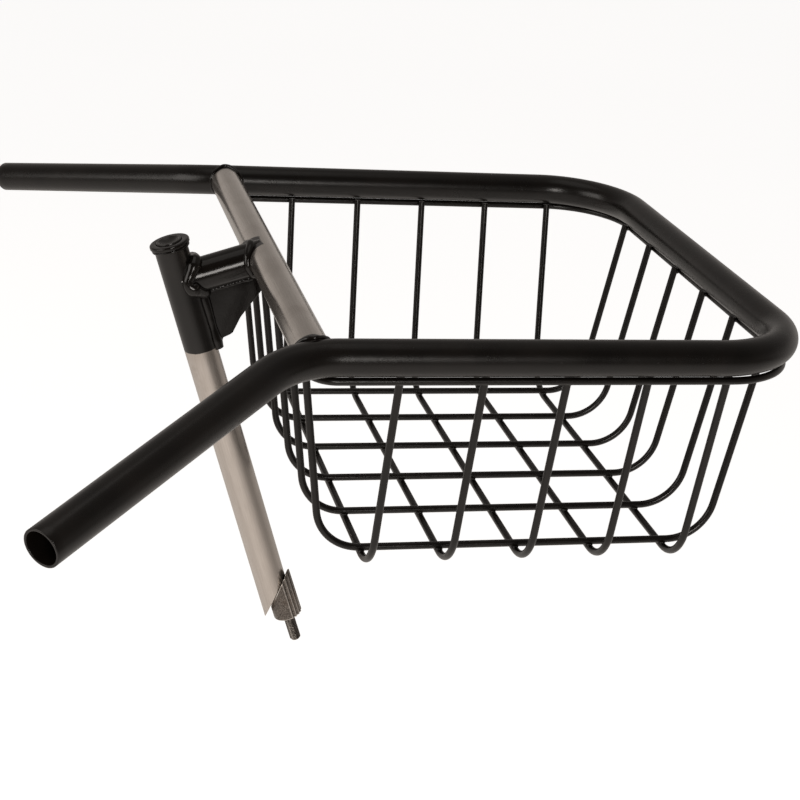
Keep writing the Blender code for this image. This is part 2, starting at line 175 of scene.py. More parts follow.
def mirrored(points):
    return [Vector((-p.x, p.y, p.z)) for p in reversed(points)]


def path_curve(name, points, closed=False):
    data = bpy.data.curves.new(name, "CURVE")
    data.dimensions = "3D"
    spline = data.splines.new("POLY")
    spline.points.add(len(points) - 1)
    for point, place in zip(spline.points, points):
        point.co = (place.x, place.y, place.z, 1.0)
    spline.use_cyclic_u = closed
    return new_object(name, data)


class NodeMaker:
    """A short way to add nodes to a tree; links gives each input a value or a socket to join."""

    def __init__(self, tree):
        self.tree = tree

    def add(self, kind, links=None, **settings):
        node = self.tree.nodes.new(kind)
        for key, value in settings.items():
            setattr(node, key, value)
        for key, value in (links or {}).items():
            if isinstance(value, bpy.types.NodeSocket):
                self.tree.links.new(value, node.inputs[key])
            else:
                node.inputs[key].default_value = value
        return node

    def math(self, operation, a, b=0.0):
        return self.add("ShaderNodeMath", {0: a, 1: b}, operation=operation).outputs[0]

    def ramp(self, value, low, high, start=0.0, end=1.0):
        """Maps value from low..high onto start..end, without overshoot."""
        links = {"Value": value, 1: low, 2: high, 3: start, 4: end}
        return self.add("ShaderNodeMapRange", links).outputs[0]

    def mixed(self, factor, a, b):
        """A colour between a and b, each a plain colour or a socket."""
        a, b = ((*c, 1.0) if isinstance(c, tuple) else c for c in (a, b))
        return self.add("ShaderNodeMix", {0: factor, 6: a, 7: b}, data_type="RGBA").outputs[2]


class NodeChain(NodeMaker):
    """A geometry node tree with named inputs."""

    def __init__(self, name, inputs):
        super().__init__(bpy.data.node_groups.new(name, "GeometryNodeTree"))
        face = self.tree.interface
        face.new_socket("Geometry", in_out="INPUT", socket_type="NodeSocketGeometry")
        for label, kind in inputs.items():
            face.new_socket(label, in_out="INPUT", socket_type="NodeSocket" + kind)
        face.new_socket("Geometry", in_out="OUTPUT", socket_type="NodeSocketGeometry")
        self.inputs = self.tree.nodes.new("NodeGroupInput").outputs
        self.result = self.tree.nodes.new("NodeGroupOutput")

    def finish(self, geometry):
        smooth = self.add("GeometryNodeSetShadeSmooth", {"Geometry": geometry})
        real = self.add("GeometryNodeRealizeInstances", {"Geometry": smooth.outputs[0]})
        finish = self.add(
            "GeometryNodeSetMaterial",
            {"Geometry": real.outputs[0], "Material": self.inputs["Finish"]},
        )
        self.tree.links.new(finish.outputs[0], self.result.inputs[0])
        return self.tree


def smoothed(mesh, crease):
    """Shades a mesh smooth, but for edges that turn by more than crease degrees."""
    mesh.shade_smooth()
    mesh.set_sharp_from_angle(angle=radians(crease))
    return mesh


def grown(source, tree, values, name, crease=40.0):
    """The plain mesh that a node tree makes from an object; the object itself is removed."""
    modifier = source.modifiers.new("grow", "NODES")
    modifier.node_group = tree
    for item in tree.interface.items_tree:
        if item.in_out == "INPUT" and item.name in values:
            modifier[item.identifier] = values[item.name]
    graph = bpy.context.evaluated_depsgraph_get()
    mesh = bpy.data.meshes.new_from_object(source.evaluated_get(graph))
    mesh.name = name
    bpy.data.objects.remove(source, do_unlink=True)
    shell = bmesh.new()
    shell.from_mesh(mesh)
    bmesh.ops.remove_doubles(shell, verts=shell.verts, dist=1e-7)
    shell.to_mesh(mesh)
    shell.free()
    return smoothed(mesh, crease)


def bar_tree():
    """Round bar of a given diameter that follows the incoming path."""
    chain = NodeChain(
        "round_bar",
        {"Diameter": "Float", "Sides": "Int", "Capped": "Bool", "Finish": "Material"},
    )
    profile = chain.add(
        "GeometryNodeCurvePrimitiveCircle",
        {
            "Resolution": chain.inputs["Sides"],
            "Radius": chain.math("MULTIPLY", chain.inputs["Diameter"], 0.5),
        },
    )
    bar = chain.add(
        "GeometryNodeCurveToMesh",
        {
            "Curve": chain.inputs["Geometry"],
            "Profile Curve": profile.outputs[0],
            "Fill Caps": chain.inputs["Capped"],
        },
    )
    return chain.finish(bar.outputs[0])


ROUND_BAR = bar_tree()


def new_piece(name, mesh, finish, replaced=(), body="frame"):
    """Puts a finished mesh in the scene as a piece of the object."""
    item = new_object(name, mesh)
    if not mesh.materials:
        mesh.materials.append(finish)
    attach(item, body)
    if replaced:
        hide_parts(*replaced)


class Finish(NodeMaker):
    """A material's node tree, which works in the piece's own coordinates."""

    def __init__(self, name):
        self.material = bpy.data.materials.new(name)
        self.material.use_nodes = True
        super().__init__(self.material.node_tree)
        self.shader = self.tree.nodes["Principled BSDF"]
        self.place = self.tree.nodes.new("ShaderNodeTexCoord").outputs["Object"]

    def noise(self, scale, detail, place=None, roughness=0.5):
        links = {"Scale": scale, "Detail": detail, "Roughness": roughness}
        links["Vector"] = place or self.place
        return self.add("ShaderNodeTexNoise", links).outputs["Fac"]

    def turned(self, turn=(0, 0, 0), stretch=(1, 1, 1), shift=(0, 0, 0)):
        """The piece's own coordinates, moved by shift, turned, and then stretched."""
        moved = self.add(
            "ShaderNodeVectorMath", {0: self.place, 1: shift}, operation="SUBTRACT"
        )
        swung = self.add(
            "ShaderNodeMapping",
            {"Vector": moved.outputs[0], "Rotation": turn, "Scale": stretch},
        )
        return swung.outputs[0]

    def bump(self, height, strength, distance, below=None):
        links = {"Height": height, "Strength": strength, "Distance": distance}
        if below is not None:
            links["Normal"] = below
        return self.add("ShaderNodeBump", links).outputs[0]

    def set(self, **values):
        names = {
            "colour": "Base Color",
            "roughness": "Roughness",
            "metallic": "Metallic",
            "normal": "Normal",
            "specular": "Specular IOR Level",
        }
        for key, value in values.items():
            socket = self.shader.inputs[names[key]]
            if isinstance(value, bpy.types.NodeSocket):
                self.tree.links.new(value, socket)
            elif key == "colour":
                socket.default_value = (*value, 1.0)
            else:
                socket.default_value = value


def enamel_colour(finish):
    """Satin black enamel, a little warmer and paler where it lies thin."""
    cloud = finish.ramp(finish.noise(38.0, 4.0), 0.35, 0.68)
    return finish.mixed(cloud, PAINT_DARK, PAINT_PALE)


def enamel_skin(finish, roughness_range):
    """Roughness and surface of the enamel: fine orange peel, dust nibs and a soft flow."""
    smear = finish.noise(26.0, 5.0, roughness=0.62)
    roughness = finish.ramp(smear, 0.3, 0.7, *roughness_range)
    peel = finish.bump(finish.noise(850.0, 1.5), 0.10, 0.00022)
    flow = finish.bump(finish.noise(120.0, 2.0), 0.08, 0.0010, peel)
    nibs = finish.ramp(finish.noise(620.0, 0.0), 0.78, 0.86)
    return roughness, finish.bump(nibs, 0.25, 0.0002, flow)


def black_enamel(name, roughness_range):
    finish = Finish(name)
    roughness, skin = enamel_skin(finish, roughness_range)
    finish.set(
        colour=enamel_colour(finish),
        roughness=roughness,
        normal=skin,
        specular=ENAMEL_SPECULAR,
    )
    return finish.material


BLACK_ENAMEL = black_enamel("black_enamel", SATIN_ROUGHNESS)


def ease_edges(item, width, angle):
    """Adds a small rounding to the edges that turn by more than angle degrees."""
    ease = item.modifiers.new("ease", "BEVEL")
    ease.width = width
    ease.segments = 2
    ease.limit_method = "ANGLE"
    ease.angle_limit = radians(angle)
    return ease


def baked(item, name, crease):
    """The mesh that a blank's modifiers make; the blank itself is removed."""
    graph = bpy.context.evaluated_depsgraph_get()
    mesh = bpy.data.meshes.new_from_object(item.evaluated_get(graph))
    blank = item.data
    bpy.data.objects.remove(item, do_unlink=True)
    bpy.data.meshes.remove(blank)
    mesh.name = name
    return smoothed(mesh, crease)


def add_frame_tube():
    half = half_frame_path()
    path = joined(half, line(half[-1], mirrored(half)[0], 30), mirrored(half))
    values = {
        "Diameter": 2 * TUBE_RADIUS,
        "Sides": TUBE_SIDES,
        "Capped": False,
        "Finish": BLACK_ENAMEL,
    }
    skin = grown(path_curve("frame_path", path), ROUND_BAR, values, "frame_blank")
    item = new_object("frame_blank", skin)
    wall = item.modifiers.new("wall", "SOLIDIFY")
    wall.thickness = TUBE_WALL
    wall.offset = -1.0
    ease_edges(item, TUBE_LIP, TUBE_CREASE)
    mesh = baked(item, "frame_tube", TUBE_CREASE)
    new_piece("frame_tube", mesh, BLACK_ENAMEL, ["handlebar_tube"])


add_frame_tube()

# Cross tube: a plain length of the same tube, saddled between the rails. Its middle was masked
# before enamelling, so it shows bare drawn steel with ragged paint at its ends and its joint.
CROSS_SIDES = 72
CROSS_RINGS = 60
CROSS_DARK = (0.46, 0.42, 0.385)
CROSS_PALE = (0.60, 0.56, 0.52)
CROSS_STAIN = (0.36, 0.32, 0.285)
CROSS_PAINT_END = 0.1755
SADDLE_PAINT = 0.0140

joints = {joint["name"]: joint for joint in frame["joints"]}
quill_up = Vector(joints["plug_lift"]["axis"])
stem_lean = atan2(quill_up.y, quill_up.z)


def rail_centre(y):
    """Distance of the frame tube's centreline from the middle, near the cross tube."""
    run = max(0.0, y - (cross_y - REAR_BEND_LEAD))
    return RAIL_HALF_SPAN + REAR_BEND - sqrt(REAR_BEND**2 - run**2)


def half_chord(radius, offset):
    return sqrt(max(0.0, radius**2 - offset**2))


def sleeve_mesh(name, outer, inner, low, high, place, sides, rings):
    """Tube along local Z. low and high give its ends for each point (x, y) round its wall."""
    mesh = bpy.data.meshes.new(name)
    vertices = []
    for radius, order in ((outer, 1), (inner, -1)):
        for ring in range(rings + 1):
            share = ring / rings if order > 0 else 1 - ring / rings
            for side in range(sides):
                turn = 2 * pi * side / sides
                x = radius * cos(turn)
                y = radius * sin(turn)
                start = low(x, y)
                vertices.append(place @ Vector((x, y, start + (high(x, y) - start) * share)))
    loops = 2 * (rings + 1)
    faces = []
    for loop in range(loops):
        after = (loop + 1) % loops
        for side in range(sides):
            beside = (side + 1) % sides
            faces.append(
                (
                    loop * sides + side,
                    loop * sides + beside,
                    after * sides + beside,
                    after * sides + side,
                )
            )
    mesh.from_pydata(vertices, [], faces)
    return smoothed(mesh, 40.0)


def brushed(finish, stretched, coarse, fine):
    """Fine drawing lines along a stretched direction."""
    lines = finish.math("MULTIPLY", finish.noise(fine, 3.0, stretched, 0.7), 0.6)
    bands = finish.math("MULTIPLY", finish.noise(coarse, 4.0, stretched, 0.6), 0.4)
    return finish.math("ADD", lines, bands)


def ragged_edge(finish, scale, detail, width):
    """An offset that wanders within width, for the edge of brushed paint."""
    wander = finish.math("SUBTRACT", finish.noise(scale, detail), 0.5)
    return finish.math("MULTIPLY", wander, width)


def part_painted(finish, painted, steel, grain, grain_height, metallic, roughness):
    """Enamel where painted is 1 and bare steel where it is 0, with a step between them."""
    height = finish.math("ADD", finish.math("MULTIPLY", grain, grain_height), painted)
    finish.set(
        colour=finish.mixed(painted, steel, enamel_colour(finish)),
        metallic=finish.ramp(painted, 0.0, 1.0, metallic, 0.0),
        roughness=finish.ramp(painted, 0.0, 1.0, *roughness),
        normal=finish.bump(height, 0.35, 0.00012),
    )
    return finish.material


def bare_cross_finish():
    finish = Finish("bare_cross_tube")
    around = finish.turned(stretch=(0.03, 1.0, 1.0), shift=(0.0, cross_y, frame_z))
    grain = brushed(finish, around, 160.0, 1500.0)
    stain = finish.noise(34.0, 5.0, roughness=0.65)
    steel = finish.mixed(finish.ramp(grain, 0.3, 0.7), CROSS_DARK, CROSS_PALE)
    steel = finish.mixed(finish.ramp(stain, 0.45, 0.75, 0.0, 0.55), steel, CROSS_STAIN)
    parts = finish.add("ShaderNodeSeparateXYZ", {0: finish.turned(shift=(0.0, cross_y, frame_z))})
    across = finish.math("ABSOLUTE", parts.outputs[0])
    ragged = ragged_edge(finish, 90.0, 4.0, 0.006)
    reach = finish.math("ADD", across, ragged)
    at_ends = finish.ramp(reach, CROSS_PAINT_END - 0.0006, CROSS_PAINT_END + 0.0006)
    seam = finish.turned((-stem_lean, 0.0, 0.0), (1.0, 0.0, 1.0), (0.0, cross_y, frame_z))
    from_seam = finish.add("ShaderNodeVectorMath", {0: seam}, operation="LENGTH").outputs["Value"]
    from_seam = finish.math("ADD", from_seam, finish.math("MULTIPLY", ragged, 0.25))
    beside_stem = finish.ramp(from_seam, SADDLE_PAINT + 0.0004, SADDLE_PAINT - 0.0004)
    behind = finish.math("ADD", parts.outputs[1], finish.math("MULTIPLY", ragged, 0.6))
    saddle = finish.math("MULTIPLY", beside_stem, finish.ramp(behind, 0.0018, 0.0028))
    painted = finish.math("MAXIMUM", at_ends, saddle)
    return part_painted(finish, painted, steel, grain, 0.3, 0.92, (0.20, 0.30))


def cross_end(side):
    def reach(x, y):
        rail = rail_centre(cross_y + y)
        return side * (rail - half_chord(TUBE_RADIUS - TUBE_WALL / 2, x))

    return reach


def add_cross_tube():
    lie = Matrix.Translation((0.0, cross_y, frame_z)) @ Matrix.Rotation(radians(90.0), 4, "Y")
    mesh = sleeve_mesh(
        "cross_bar",
        TUBE_RADIUS,
        TUBE_RADIUS - TUBE_WALL,
        cross_end(-1),
        cross_end(1),
        lie,
        CROSS_SIDES,
        CROSS_RINGS,
    )
    new_piece("cross_bar", mesh, bare_cross_finish(), ["cross_tube"])


add_cross_tube()

# Quill: a straight tube that leans back with the head. It is enamelled above the headset and
# left bare where it goes down the steerer; its foot is sawn on a slant for the wedge.
QUILL_RADIUS = 0.0111
QUILL_WALL = 0.0018
QUILL_RISE = 0.0715
QUILL_CUT_DROP = 0.2035
CUT_ANGLE = radians(36.0)
CUT_TURN = radians(-23.0)
PAINT_EDGE_SLOPE = -0.10
QUILL_SIDES = 72
QUILL_RINGS = 40
QUILL_DARK = (0.52, 0.475, 0.435)
QUILL_PALE = (0.70, 0.65, 0.605)
QUILL_STAIN = (0.37, 0.315, 0.265)
QUILL_BLOTCH = (0.30, 0.25, 0.21)
QUILL_HAZE = (0.40, 0.35, 0.31)

STEM = Matrix.Rotation(-stem_lean, 4, "X")


def quill_foot(x, y):
    return -QUILL_CUT_DROP - (y * cos(CUT_TURN) - x * sin(CUT_TURN)) / tan(CUT_ANGLE)


def quill_finish():
    finish = Finish("quill")
    local = finish.turned(turn=(stem_lean, 0.0, 0.0))
    parts = finish.add("ShaderNodeSeparateXYZ", {0: local})
    fine = finish.add("ShaderNodeMapping", {"Vector": local, "Scale": (1.0, 1.0, 0.04)})
    grain = brushed(finish, fine.outputs[0], 220.0, 1700.0)
    stain = finish.noise(22.0, 5.0, fine.outputs[0], 0.6)
    blotch = finish.noise(60.0, 5.0, roughness=0.65)
    steel = finish.mixed(finish.ramp(grain, 0.3, 0.7), QUILL_DARK, QUILL_PALE)
    steel = finish.mixed(finish.ramp(stain, 0.4, 0.8, 0.0, 0.5), steel, QUILL_STAIN)
    steel = finish.mixed(finish.ramp(blotch, 0.58, 0.8, 0.0, 0.35), steel, QUILL_BLOTCH)
    ragged = ragged_edge(finish, 140.0, 3.0, 0.0014)
    slope = finish.math("MULTIPLY", parts.outputs[1], PAINT_EDGE_SLOPE)
    height = finish.math("ADD", finish.math("ADD", parts.outputs[2], slope), ragged)
    painted = finish.ramp(height, -0.0014, -0.0009)
    haze = finish.ramp(height, -0.012, -0.001, 0.0, 0.35)
    steel = finish.mixed(haze, steel, QUILL_HAZE)
    return part_painted(finish, painted, steel, grain, 0.35, 0.95, (0.30, 0.28))


def add_quill():
    mesh = sleeve_mesh(
        "quill",
        QUILL_RADIUS,
        QUILL_RADIUS - QUILL_WALL,
        quill_foot,
        lambda x, y: QUILL_RISE,
        STEM,
        QUILL_SIDES,
        QUILL_RINGS,
    )
    new_piece("quill", mesh, quill_finish(), ["quill_tube"])


add_quill()

# Extension and gusset: a stub of slightly larger tube square to the quill, and a flat plate
# below it. Both are steel, profiled to fit the tubes, welded all round and enamelled.
GLOSS_ROUGHNESS = (0.15, 0.22)
EXTENSION_RADIUS = 0.0115
EXTENSION_WALL = 0.0020
EXTENSION_HEIGHT = 0.0487
EXTENSION_REACH = 0.0570
EXTENSION_SIDES = 72
EXTENSION_RINGS = 30
QUILL_OVERLAP = 0.0009
SADDLE_OVERLAP = 0.0008
GUSSET_THICKNESS = 0.0040
GUSSET_FOOT = -0.0039
GUSSET_EDGE = (
    (0.0148, -0.0012),
    (0.0164, 0.0016),
    (0.0215, 0.0024),
    (0.0235, 0.0032),
    (0.0313, 0.0122),
    (0.0364, 0.0163),
    (0.0480, 0.0250),
    (0.0550, 0.0300),
)
GUSSET_ROUNDING = 0.0007
GUSSET_OVERLAP = 0.0010
GUSSET_CORNER = 0.0008

GLOSS_ENAMEL = black_enamel("gloss_enamel", GLOSS_ROUGHNESS)


def stem_point(x, ahead, height):
    return STEM @ Vector((x, -ahead, height))


def add_extension():
    lie = STEM @ Matrix.Translation((0.0, 0.0, EXTENSION_HEIGHT))
    lie = lie @ Matrix.Rotation(radians(90.0), 4, "X")
    mesh = sleeve_mesh(
        "extension",
        EXTENSION_RADIUS,
        EXTENSION_RADIUS - EXTENSION_WALL,
        lambda x, y: half_chord(QUILL_RADIUS - QUILL_OVERLAP, x),
        lambda x, y: EXTENSION_REACH - half_chord(TUBE_RADIUS - SADDLE_OVERLAP, y),
        lie,
        EXTENSION_SIDES,
        EXTENSION_RINGS,
    )
    new_piece("extension", mesh, GLOSS_ENAMEL, ["stem_extension"])


def mesh_of(shell, name, crease):
    mesh = bpy.data.meshes.new(name)
    shell.to_mesh(mesh)
    shell.free()
    return smoothed(mesh, crease)


def plate_mesh(name, outline, thickness, rounding):
    """Flat plate in the stem's middle plane, with eased edges."""
    shell = bmesh.new()
    rim = [shell.verts.new(stem_point(-thickness / 2, u, s)) for u, s in outline]
    face = shell.faces.new(rim)
    grown_face = bmesh.ops.extrude_face_region(shell, geom=[face])
    moved = [v for v in grown_face["geom"] if isinstance(v, bmesh.types.BMVert)]
    bmesh.ops.translate(shell, verts=moved, vec=Vector((thickness, 0.0, 0.0)))
    bmesh.ops.recalc_face_normals(shell, faces=shell.faces)
    edges = [e for e in shell.edges if abs(e.verts[0].co.x - e.verts[1].co.x) < 1e-6]
    bmesh.ops.bevel(shell, geom=edges, offset=rounding, segments=3, profile=0.5, affect="EDGES")
    return mesh_of(shell, name, 32.0)


def add_gusset():
    top = EXTENSION_HEIGHT - EXTENSION_RADIUS + GUSSET_OVERLAP
    rear = QUILL_RADIUS - GUSSET_OVERLAP
    outline = [(rear, top), (rear, GUSSET_FOOT), (QUILL_RADIUS + GUSSET_CORNER, GUSSET_FOOT)]
    outline += [*GUSSET_EDGE, (GUSSET_EDGE[-1][0], top)]
    mesh = plate_mesh("gusset", outline, GUSSET_THICKNESS, GUSSET_ROUNDING)
    new_piece("gusset", mesh, GLOSS_ENAMEL, ["gusset_plate"])


add_extension()
add_gusset()

# Welds: hand-laid beads of steel where the tubes meet, enamelled over with the rest. The bead
# round the quill is the fattest, and fillets run along both sides of the gusset.
BEAD_SIDES = 18
BEAD_CREASE = 60.0
SWELL_SCALE = 105.0
LAG_SCALE = 75.0
LAG_TURN = 9.0
SEAM_STEPS = 96
SADDLE_INSET = 0.0013
# Each bead has a width, a ripple pitch, a ripple height and an unevenness.
QUILL_BEAD = (0.0094, 0.0085, 0.05, 0.85)
SADDLE_BEAD = (0.0058, 0.0085, 0.04, 0.45)
RAIL_BEAD = (0.0027, 0.0056, 0.04, 0.40)
TOP_FILLET = (0.0038, 0.0046, 0.07, 0.60)
FOOT_FILLET = (0.0076, 0.0150, 0.02, 0.45)


def bead_tree():
    """Weld bead along a path: a round bar whose width swells and ripples as the torch moved."""
    chain = NodeChain(
        "weld_bead",
        {
            "Bead Width": "Float",
            "Ripple Pitch": "Float",
            "Ripple Height": "Float",
            "Unevenness": "Float",
            "Seed": "Float",
            "Finish": "Material",
        },
    )
    fine = chain.math("DIVIDE", chain.inputs["Ripple Pitch"], 10.0)
    even = chain.add(
        "GeometryNodeResampleCurve",
        {"Curve": chain.inputs["Geometry"], "Length": fine},
        mode="LENGTH",
    )
    run = chain.add("GeometryNodeSplineParameter").outputs["Length"]
    beat = chain.math(
        "MULTIPLY", chain.math("DIVIDE", run, chain.inputs["Ripple Pitch"]), 2 * pi
    )
    swell, lag = (
        chain.add(
            "ShaderNodeTexNoise",
            {"Scale": scale, "Detail": 0.0, "W": chain.inputs["Seed"]},
            noise_dimensions="4D",
        ).outputs[0]
        for scale in (SWELL_SCALE, LAG_SCALE)
    )
    beat = chain.math("ADD", beat, chain.math("MULTIPLY", lag, LAG_TURN))
    ripple = chain.math("MULTIPLY", chain.math("SINE", beat), chain.inputs["Ripple Height"])
    swell = chain.math("SUBTRACT", swell, 0.5)
    swell = chain.math("MULTIPLY", swell, chain.inputs["Unevenness"])
    width = chain.math("ADD", chain.math("ADD", ripple, swell), 1.0)
    half_width = chain.math("MULTIPLY", chain.inputs["Bead Width"], 0.5)
    profile = chain.add(
        "GeometryNodeCurvePrimitiveCircle", {"Resolution": BEAD_SIDES, "Radius": 1.0}
    )
    bead = chain.add(
        "GeometryNodeCurveToMesh",
        {
            "Curve": even.outputs[0],
            "Profile Curve": profile.outputs[0],
            "Scale": chain.math("MULTIPLY", half_width, width),
            "Fill Caps": True,
        },
    )
    return chain.finish(bead.outputs[0])


WELD_BEAD = bead_tree()


def add_bead(name, points, bead, seed, closed=False):
    width, pitch, ripple, unevenness = bead
    values = {
        "Bead Width": width,
        "Ripple Pitch": pitch,
        "Ripple Height": ripple,
        "Unevenness": unevenness,
        "Seed": seed,
        "Finish": GLOSS_ENAMEL,
    }
    path = path_curve(name + "_path", points, closed)
    mesh = grown(path, WELD_BEAD, values, name, BEAD_CREASE)
    new_piece(name, mesh, GLOSS_ENAMEL)


def quill_seam(turn):
    x = EXTENSION_RADIUS * cos(turn)
    height = EXTENSION_HEIGHT + EXTENSION_RADIUS * sin(turn)
    return stem_point(x, half_chord(QUILL_RADIUS + 0.0008, x) + 0.0008, height)


def saddle_seam(turn):
    x = EXTENSION_RADIUS * cos(turn)
    rise = (EXTENSION_RADIUS - SADDLE_INSET) * sin(turn)
    ahead = EXTENSION_REACH - half_chord(TUBE_RADIUS + 0.0006, rise) - 0.0006
    return stem_point(x, ahead, EXTENSION_HEIGHT + rise)


def rail_seam(side):
    def at(turn):
        y = (TUBE_RADIUS + 0.0004) * cos(turn)
        z = (TUBE_RADIUS + 0.0004) * sin(turn)
        x = rail_centre(cross_y + y) - half_chord(TUBE_RADIUS + 0.0009, z)
        return Vector((side * x, cross_y + y, frame_z + z))

    return at


def ring_of(seam):
    return [seam(2 * pi * i / SEAM_STEPS) for i in range(SEAM_STEPS)]


def add_welds():
    add_bead("quill_weld", ring_of(quill_seam), QUILL_BEAD, 3.0, True)
    add_bead("saddle_weld", ring_of(saddle_seam), SADDLE_BEAD, 7.0, True)
    for side, name in ((-1, "right"), (1, "left")):
        add_bead(name + "_rail_weld", ring_of(rail_seam(side)), RAIL_BEAD, 11.0 + side, True)
        x = side * (GUSSET_THICKNESS / 2 + 0.0004)
        under = EXTENSION_HEIGHT - EXTENSION_RADIUS - 0.0001
        top_run = [stem_point(x, 0.0125 + 0.0009 * i, under) for i in range(38)]
        add_bead(name + "_gusset_top_weld", top_run, TOP_FILLET, 17.0 + side)
        ahead = half_chord(QUILL_RADIUS, x) + 0.0004
        foot_run = [stem_point(x, ahead, GUSSET_FOOT + 0.001 * i) for i in range(40)]
        add_bead(name + "_gusset_foot_weld", foot_run, FOOT_FILLET, 23.0 + side)


add_welds()

# Collar and dust plug: a turned steel ring with a fine groove is pressed on the quill's top,
# and a moulded nylon plug with a dished face is pushed into it to keep rain off the bolt.
COLLAR_TOP = 0.0770
COLLAR_FOOT = 0.0718
COLLAR_RADIUS = 0.0133
COLLAR_BORE = 0.0088
LEDGE_BORE = 0.0076
LEDGE_HEIGHT = 0.0740
INNER_LIP = 0.0005
OUTER_LIP = 0.0011
FLANGE_DEPTH = 0.0022
GROOVE_DEPTH = 0.0014
GROOVE_DROP = 0.0030
LOWER_STEP = 0.0007
LOWER_ROUNDING = 0.0008
LOWER_RISE = 0.0012
PLUG_TOP = 0.0778
PLUG_GAP = 0.0003
PLUG_ROUNDING = 0.0006
PLUG_RIM = 0.0019
DISH_DEPTH = 0.0021
SKIRT_LENGTH = 0.0045
SKIRT_WALL = 0.0016
NYLON_DARK = (0.011, 0.010, 0.009)
NYLON_PALE = (0.019, 0.017, 0.015)
NYLON_SCUFF = (0.05, 0.046, 0.042)
TURNED_SIDES = 96


def turned_mesh(name, profile, place, closed=False):
    """Solid of revolution about local Z from (radius, height) points."""
    shell = bmesh.new()
    chain = [shell.verts.new((radius, 0.0, height)) for radius, height in profile]
    edges = [shell.edges.new((a, b)) for a, b in zip(chain, chain[1:])]
    if closed:
        edges.append(shell.edges.new((chain[-1], chain[0])))
    bmesh.ops.spin(
        shell,
        geom=chain + edges,
        axis=(0.0, 0.0, 1.0),
        cent=(0.0, 0.0, 0.0),
        steps=TURNED_SIDES,
        angle=2 * pi,
        use_merge=False,
    )
    bmesh.ops.remove_doubles(shell, verts=shell.verts, dist=1e-7)
    bmesh.ops.dissolve_degenerate(shell, edges=shell.edges, dist=1e-8)
    bmesh.ops.recalc_face_normals(shell, faces=shell.faces)
    shell.transform(place)
    return mesh_of(shell, name, 42.0)


def rounded(corner, radius, start, end, steps=5):
    """Points on a quarter round: corner is its centre, start and end its angles in degrees."""
    x, z = corner
    return [
        (
            x + radius * cos(radians(start + (end - start) * i / steps)),
            z + radius * sin(radians(start + (end - start) * i / steps)),
        )
        for i in range(steps + 1)
    ]


def add_collar():
    lower = COLLAR_RADIUS - LOWER_STEP
    edge = lower - LOWER_ROUNDING
    profile = rounded((COLLAR_BORE + INNER_LIP, COLLAR_TOP - INNER_LIP), INNER_LIP, 180, 90)
    profile += rounded((COLLAR_RADIUS - OUTER_LIP, COLLAR_TOP - OUTER_LIP), OUTER_LIP, 90, 0, 8)
    profile += rounded((lower, COLLAR_TOP - FLANGE_DEPTH), LOWER_STEP, 0, -80)
    profile += [(COLLAR_RADIUS - GROOVE_DEPTH, COLLAR_TOP - GROOVE_DROP)]
    profile += rounded((edge, COLLAR_FOOT + LOWER_RISE), LOWER_ROUNDING, 80, 0)
    profile += rounded((edge, COLLAR_FOOT + LOWER_ROUNDING), LOWER_ROUNDING, 0, -90)
    profile += [
        (QUILL_RADIUS - QUILL_WALL, COLLAR_FOOT),
        (LEDGE_BORE, COLLAR_FOOT),
        (LEDGE_BORE, LEDGE_HEIGHT),
        (COLLAR_BORE, LEDGE_HEIGHT),
    ]
    mesh = turned_mesh("collar", profile, STEM, closed=True)
    new_piece("collar", mesh, GLOSS_ENAMEL, ["top_collar"])


def nylon_finish():
    finish = Finish("moulded_nylon")
    speckle = finish.ramp(finish.noise(900.0, 2.0), 0.35, 0.7)
    scuff = finish.ramp(finish.noise(140.0, 5.0, roughness=0.7), 0.55, 0.72)
    colour = finish.mixed(speckle, NYLON_DARK, NYLON_PALE)
    colour = finish.mixed(finish.math("MULTIPLY", scuff, 0.5), colour, NYLON_SCUFF)
    finish.set(
        colour=colour,
        roughness=finish.ramp(speckle, 0.0, 1.0, 0.22, 0.32),
        normal=finish.bump(finish.noise(1100.0, 2.0), 0.15, 0.0002),
    )
    return finish.material


def add_dust_plug():
    head = COLLAR_BORE - PLUG_GAP
    skirt = LEDGE_BORE - PLUG_GAP
    shoulder = LEDGE_HEIGHT + PLUG_GAP
    bowl = head - PLUG_RIM
    edge = PLUG_TOP - PLUG_ROUNDING
    profile = [
        (bowl * i / 12, PLUG_TOP - 0.0003 - DISH_DEPTH * (1 - (i / 12) ** 2)) for i in range(13)
    ]
    profile += rounded((bowl + PLUG_ROUNDING, edge), PLUG_ROUNDING, 130, 90, 4)
    profile += rounded((head - PLUG_ROUNDING, edge), PLUG_ROUNDING, 90, 20, 6)
    profile += [
        (head, PLUG_TOP - 0.0010),
        (head, shoulder),
        (skirt, shoulder),
        (skirt, LEDGE_HEIGHT - SKIRT_LENGTH),
        (skirt - SKIRT_WALL, LEDGE_HEIGHT - SKIRT_LENGTH),
        (skirt - SKIRT_WALL, shoulder),
        (0.0, shoulder),
    ]
    mesh = turned_mesh("plug", profile, STEM)
    new_piece("plug", mesh, nylon_finish(), ["dust_plug"], "plug")


add_collar()
add_dust_plug()

